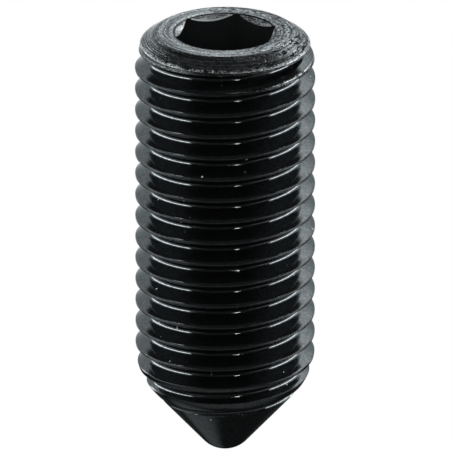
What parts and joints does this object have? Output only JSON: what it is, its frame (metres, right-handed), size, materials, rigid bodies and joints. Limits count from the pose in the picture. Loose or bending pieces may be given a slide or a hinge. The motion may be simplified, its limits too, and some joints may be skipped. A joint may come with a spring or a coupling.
{
  "type": "set screw",
  "caption": "Headless steel set screw threaded along its length, with a hexagon socket in one end and a cone point at the other, for locking a collar or hub on a shaft.",
  "frame": {"origin": "centre of the flat ring at the socket end, on the screw's axis", "axes": "+Z along the screw's axis, from the socket end that it stands on to the tip of the cone; +X through a corner of the hexagon socket"},
  "size_m": [0.016, 0.016, 0.0395],
  "materials": {
    "black_oxide_steel": "black oxide over rolled steel, satin, lightly oiled, with grey mottled pits on the end chamfer"
  },
  "bodies": {
    "root": {"set_screw": "black_oxide_steel"}
  },
  "joints": []
}
